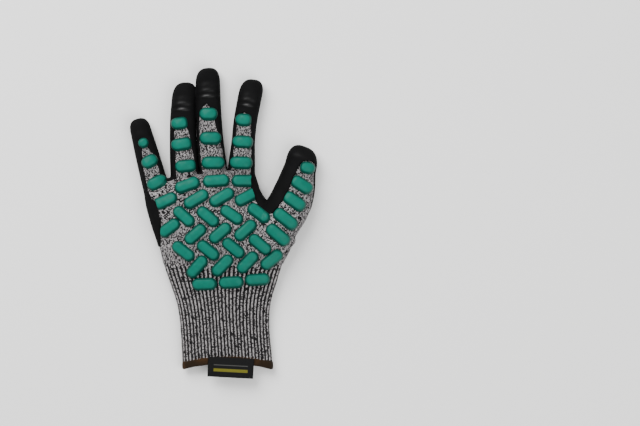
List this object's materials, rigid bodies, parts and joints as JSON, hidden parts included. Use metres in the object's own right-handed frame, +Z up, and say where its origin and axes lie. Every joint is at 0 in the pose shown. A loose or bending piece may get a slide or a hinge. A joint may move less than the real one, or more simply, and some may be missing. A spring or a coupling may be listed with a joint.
{
  "type": "anti vibration glove",
  "caption": "Left-hand knitted work glove with a ribbed cuff, a foam-dipped palm and fingertips, and raised cushioning pads over its back.",
  "frame": {"origin": "middle of the underside, on the surface that the glove lies on", "axes": "+Y from the cuff's mouth to the fingertips, +X towards the thumb, +Z up out of the back of the hand"},
  "size_m": [0.1586, 0.2646, 0.0301],
  "materials": {
    "knit": "flecked grey and black knitted yarn, matt",
    "coating": "black foam dip, matt with a faint sheen",
    "pad": "smooth moulded green foam rubber, satin",
    "hem": "dark brown overlocked yarn, matt",
    "label": "black woven tape, matt"
  },
  "bodies": {
    "root": {"hem": "hem", "label": "label", "knit_cuff": "knit", "knit_hand": "knit", "knit_thumb": "knit", "coating_palm": "coating", "coating_thumb": "coating", "knit_index_finger": "knit", "coating_index_finger": "coating", "knit_middle_finger": "knit", "coating_middle_finger": "coating", "knit_ring_finger": "knit", "coating_ring_finger": "coating", "knit_little_finger": "knit", "coating_little_finger": "coating", "pad_knuckle_1": "pad", "pad_knuckle_2": "pad", "pad_knuckle_3": "pad", "pad_back_a_1": "pad", "pad_back_a_2": "pad", "pad_back_a_3": "pad", "pad_back_a_4": "pad", "pad_back_b_1": "pad", "pad_back_b_2": "pad", "pad_back_b_3": "pad", "pad_back_b_4": "pad", "pad_back_c_1": "pad", "pad_back_c_2": "pad", "pad_back_c_3": "pad", "pad_back_c_4": "pad", "pad_back_d_1": "pad", "pad_back_d_2": "pad", "pad_back_d_3": "pad", "pad_back_d_4": "pad", "pad_wrist_a_1": "pad", "pad_wrist_a_2": "pad", "pad_wrist_a_3": "pad", "pad_wrist_a_4": "pad", "pad_wrist_b_1": "pad", "pad_wrist_b_2": "pad", "pad_wrist_b_3": "pad", "pad_thumb_1": "pad", "pad_thumb_2": "pad", "pad_thumb_3": "pad", "pad_thumb_4": "pad", "pad_thumb_5": "pad", "pad_index_1": "pad", "pad_index_2": "pad", "pad_index_3": "pad", "pad_middle_1": "pad", "pad_middle_2": "pad", "pad_middle_3": "pad", "pad_ring_1": "pad", "pad_ring_2": "pad", "pad_ring_3": "pad", "pad_little_1": "pad", "pad_little_2": "pad", "pad_little_3": "pad"}
  },
  "joints": []
}
